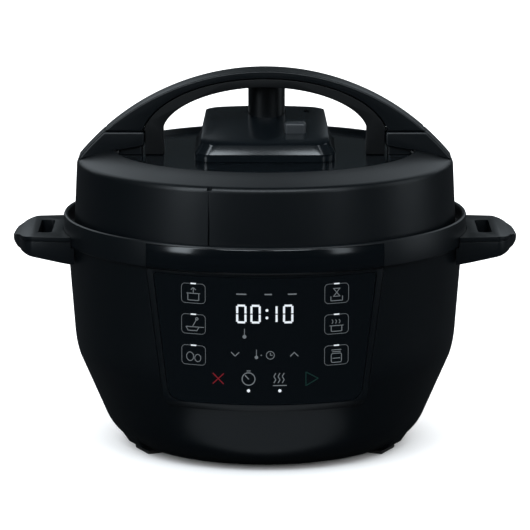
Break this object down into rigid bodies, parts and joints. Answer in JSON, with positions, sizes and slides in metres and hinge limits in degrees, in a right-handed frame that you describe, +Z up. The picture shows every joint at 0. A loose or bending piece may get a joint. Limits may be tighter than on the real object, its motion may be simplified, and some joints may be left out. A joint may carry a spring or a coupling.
{
  "type": "electric pressure cooker",
  "caption": "Compact round electric pressure cooker: flared bowl body, touch panel with display, side handles, and a bayonet lid with an arched handle and steam release valve.",
  "frame": {"origin": "on the floor, under the middle of the cooker", "axes": "+X to the right side handle, -Y to the control panel and the user, +Z up"},
  "size_m": [0.326, 0.2606, 0.244],
  "materials": {
    "satin_black": "satin moulded plastic, nearly black",
    "gloss_black": "polished black plastic",
    "display": "dark display window",
    "button_grey": "satin charcoal plastic",
    "circuit_board": "green circuit board",
    "stainless_steel": "brushed and polished stainless steel",
    "zinc_steel": "zinc-plated steel",
    "cast_aluminium": "turned cast aluminium",
    "brass": "plated brass",
    "silicone": "translucent white silicone",
    "foot_rubber": "black rubber",
    "cup_plastic": "smoked clear plastic"
  },
  "bodies": {
    "base": {"body_shell": "satin_black", "condensation_rim": "satin_black", "rim_trim_band": "gloss_black", "side_handle_right": "satin_black", "side_handle_left": "satin_black", "control_panel_bezel": "satin_black", "touch_panel": "gloss_black", "display_module": "display", "control_board": "circuit_board", "power_board": "circuit_board", "liner": "stainless_steel", "heat_shield": "zinc_steel", "heating_plate": "cast_aluminium", "heater_terminal_left": "brass", "heater_terminal_right": "brass", "sensor_spring": "stainless_steel", "sensor_bracket": "zinc_steel", "thermal_fuse": "silicone", "base_plate": "zinc_steel", "foot_1": "foot_rubber", "foot_2": "foot_rubber", "foot_3": "foot_rubber", "foot_4": "foot_rubber", "base_screw_1": "zinc_steel", "base_screw_2": "zinc_steel", "base_screw_3": "zinc_steel", "base_screw_4": "zinc_steel", "side_handle_screw_right": "zinc_steel", "side_handle_screw_left": "zinc_steel", "power_inlet": "satin_black", "inlet_pin_line": "brass", "inlet_pin_neutral": "brass", "inlet_pin_earth": "brass"},
    "inner_pot": {"inner_pot": "stainless_steel"},
    "lid_seal": {"sealing_ring": "silicone", "seal_rack": "stainless_steel"},
    "lid": {"lid_shell": "satin_black", "lid_center_panel": "gloss_black", "handle_cap": "satin_black", "handle_grip": "satin_black", "handle_foot_right": "satin_black", "handle_foot_left": "satin_black", "handle_screw_right": "zinc_steel", "handle_screw_left": "zinc_steel", "valve_housing": "gloss_black", "steam_vent_pipe": "stainless_steel", "button_spring": "stainless_steel", "release_lever_pin": "stainless_steel", "anti_block_shield": "stainless_steel", "lid_pan": "stainless_steel", "lid_pan_screw_1": "zinc_steel", "lid_pan_screw_2": "zinc_steel", "lid_pan_screw_3": "zinc_steel"},
    "quick_release_button": {"quick_release_button": "button_grey"},
    "steam_release_valve": {"steam_release_valve": "satin_black"},
    "release_lever": {"release_lever": "button_grey"},
    "float_valve": {"float_valve": "stainless_steel", "float_valve_cap": "silicone"},
    "temperature_sensor": {"temperature_sensor": "cast_aluminium"},
    "condensation_cup": {"condensation_cup": "cup_plastic"}
  },
  "joints": [
    {"name": "lid_lift", "type": "slide", "parent": "base", "child": "lid_seal", "axis": [0, 0, 1], "range_m": [0, 0.3]},
    {"name": "lid_turn", "type": "hinge", "parent": "lid_seal", "child": "lid", "pos_m": [0, 0, 0.18], "axis": [0, 0, -1], "range_deg": [0, 30]},
    {"name": "inner_pot_lift", "type": "slide", "parent": "base", "child": "inner_pot", "axis": [0, 0, 1], "range_m": [0, 0.16]},
    {"name": "quick_release_press", "type": "slide", "parent": "lid", "child": "quick_release_button", "axis": [0, 0, -1], "range_m": [0, 0.004], "stiffness_N_per_m": 300, "springref_m": -0.003, "deforming": ["button_spring"]},
    {"name": "release_lever_tip", "type": "hinge", "parent": "lid", "child": "release_lever", "pos_m": [0, 0.007, 0.197], "axis": [1, 0, 0], "range_deg": [0, 12.75]},
    {"name": "steam_valve_lift", "type": "slide", "parent": "lid", "child": "steam_release_valve", "axis": [0, 0, 1], "range_m": [0, 0.004]},
    {"name": "float_valve_rise", "type": "slide", "parent": "lid", "child": "float_valve", "axis": [0, 0, 1], "range_m": [0, 0.004]},
    {"name": "sensor_press", "type": "slide", "parent": "base", "child": "temperature_sensor", "axis": [0, 0, -1], "range_m": [0, 0.0018], "stiffness_N_per_m": 800, "springref_m": -0.002, "deforming": ["sensor_spring"]},
    {"name": "condensation_cup_pull", "type": "slide", "parent": "base", "child": "condensation_cup", "axis": [0, 1, 0], "range_m": [0, 0.04]}
  ],
  "couplings": [
    {"joint": "inner_pot_lift", "follows": "lid_lift", "ratio": 0.5333},
    {"joint": "release_lever_tip", "follows": "quick_release_press", "rad_per_m": 55.556},
    {"joint": "steam_valve_lift", "follows": "quick_release_press", "ratio": 1}
  ]
}
